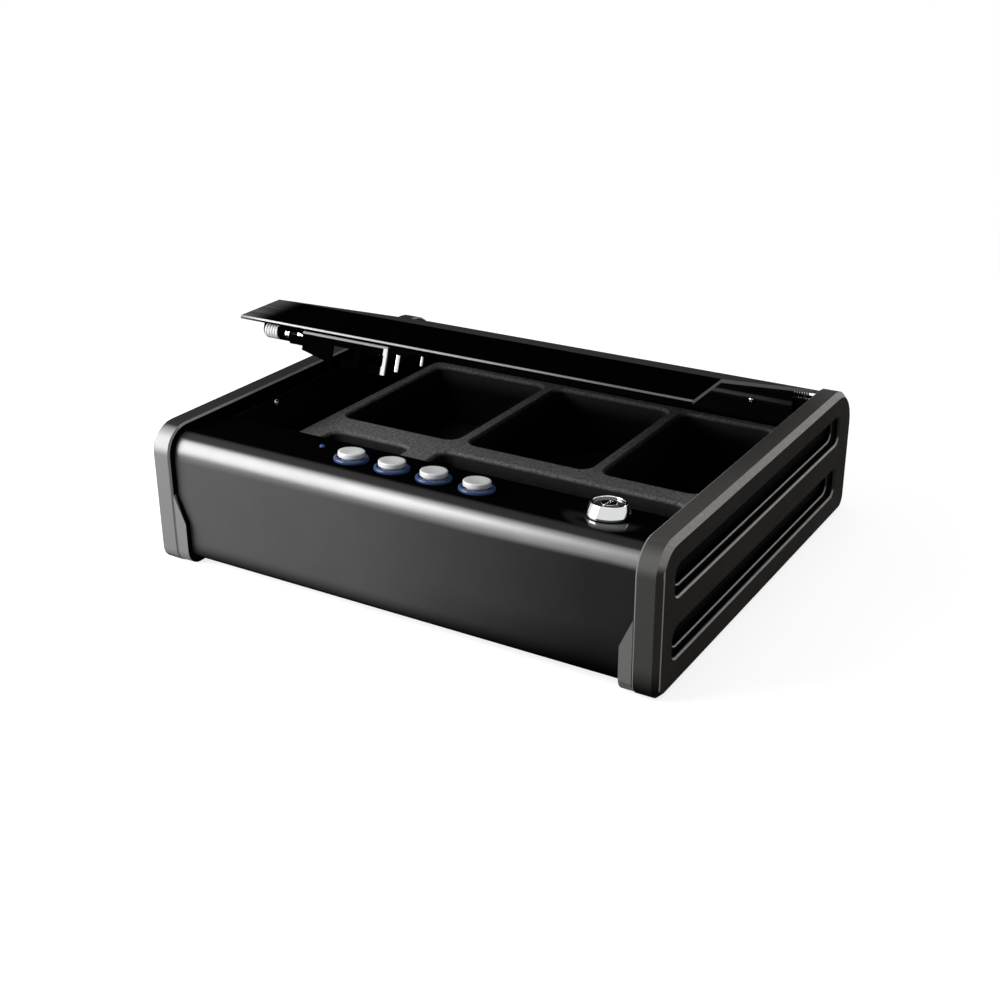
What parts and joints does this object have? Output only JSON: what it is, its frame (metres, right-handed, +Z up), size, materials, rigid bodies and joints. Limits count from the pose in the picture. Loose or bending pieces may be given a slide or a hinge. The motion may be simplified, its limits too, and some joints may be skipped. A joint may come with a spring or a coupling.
{
  "type": "portable safe",
  "caption": "Low steel lockbox with moulded end caps, a hinged lid, a push-button keypad, a key lock and a divided tray",
  "frame": {"origin": "under the middle of the case, on the surface that it stands on", "axes": "+X to the right seen from the keypad side, +Y to the hinge, +Z up"},
  "size_m": [0.307, 0.264, 0.1289],
  "materials": {
    "painted_steel": "satin black powder coat",
    "inner_steel": "black paint on inner sheets",
    "moulded_cap": "finely grained dark grey moulding",
    "zinc_steel": "zinc-plated steel",
    "bright_chrome": "polished plating",
    "spring_steel": "oiled spring wire",
    "dark_face": "black lock face, slightly glossy",
    "button_cap": "pearl white, dished",
    "button_ring": "translucent blue, lit from below",
    "led_lens": "clear blue lens",
    "silicone": "grey silicone",
    "circuit_board": "green solder mask",
    "light_nylon": "natural grey nylon",
    "black_nylon": "black nylon",
    "copper_wire": "enamelled copper winding",
    "cell_wrap": "plain dark wrap",
    "tray_felt": "short black flock",
    "mat_rubber": "thin dark rubber sheet"
  },
  "bodies": {
    "case": {"front_shell": "painted_steel", "base_pan": "painted_steel", "battery_door": "painted_steel", "left_side_wall": "inner_steel", "right_side_wall": "inner_steel", "hinge_body_leaf": "inner_steel", "hinge_clamp_bar": "inner_steel", "left_end_cap": "moulded_cap", "right_end_cap": "moulded_cap", "hinge_pin": "zinc_steel", "lock_nut": "zinc_steel", "latch_guide": "zinc_steel", "solenoid_frame": "zinc_steel", "battery_door_screw": "zinc_steel", "left_wall_screw_1": "bright_chrome", "left_wall_screw_2": "bright_chrome", "right_wall_screw_1": "bright_chrome", "right_wall_screw_2": "bright_chrome", "hinge_screw_1": "bright_chrome", "hinge_screw_2": "bright_chrome", "hinge_screw_3": "bright_chrome", "lock_bezel": "bright_chrome", "left_lid_spring": "spring_steel", "right_lid_spring": "spring_steel", "latch_spring": "spring_steel", "lock_barrel": "dark_face", "button_ring_1": "button_ring", "button_ring_2": "button_ring", "button_ring_3": "button_ring", "button_ring_4": "button_ring", "status_led": "led_lens", "keypad_mat": "silicone", "keypad_board": "circuit_board", "battery_holder": "black_nylon", "board_carrier": "black_nylon", "solenoid_coil": "copper_wire", "battery_1": "cell_wrap", "battery_2": "cell_wrap", "battery_3": "cell_wrap", "battery_4": "cell_wrap", "compartment_tray": "tray_felt", "floor_mat": "mat_rubber"},
    "lid": {"lid_panel": "painted_steel", "hinge_lid_leaf": "inner_steel", "strike_bracket": "inner_steel", "strike_axle": "zinc_steel", "axle_sleeve": "light_nylon", "axle_collar": "bright_chrome", "axle_clip": "bright_chrome", "guide_block": "black_nylon", "guide_pin_1": "bright_chrome", "guide_pin_2": "bright_chrome"},
    "key": {"key_plug": "bright_chrome", "lock_cam": "zinc_steel"},
    "latch": {"latch_bar": "zinc_steel", "solenoid_plunger": "zinc_steel"},
    "button_1": {"button_1": "button_cap"},
    "button_2": {"button_2": "button_cap"},
    "button_3": {"button_3": "button_cap"},
    "button_4": {"button_4": "button_cap"}
  },
  "joints": [
    {"name": "lid_hinge", "type": "hinge", "parent": "case", "child": "lid", "pos_m": [0, 0.1228, 0.0689], "axis": [-1, 0, 0], "range_deg": [-19.3, 70.7]},
    {"name": "button_1_press", "type": "slide", "parent": "case", "child": "button_1", "axis": [0, -0.0929, -0.9957], "range_m": [0, 0.0015], "stiffness_N_per_m": 900},
    {"name": "button_2_press", "type": "slide", "parent": "case", "child": "button_2", "axis": [0, -0.0929, -0.9957], "range_m": [0, 0.0015], "stiffness_N_per_m": 900},
    {"name": "button_3_press", "type": "slide", "parent": "case", "child": "button_3", "axis": [0, -0.0929, -0.9957], "range_m": [0, 0.0015], "stiffness_N_per_m": 900},
    {"name": "button_4_press", "type": "slide", "parent": "case", "child": "button_4", "axis": [0, -0.0929, -0.9957], "range_m": [0, 0.0015], "stiffness_N_per_m": 900},
    {"name": "key_turn", "type": "hinge", "parent": "case", "child": "key", "pos_m": [0.108, -0.09598, 0.07345], "axis": [0, 0.0929, 0.9957], "range_deg": [0, 90]},
    {"name": "latch_slide", "type": "slide", "parent": "case", "child": "latch", "axis": [1, 0, 0], "range_m": [0, 0.008]}
  ],
  "couplings": [
    {"joint": "key_turn", "follows": "latch_slide", "rad_per_m": 196.34}
  ]
}
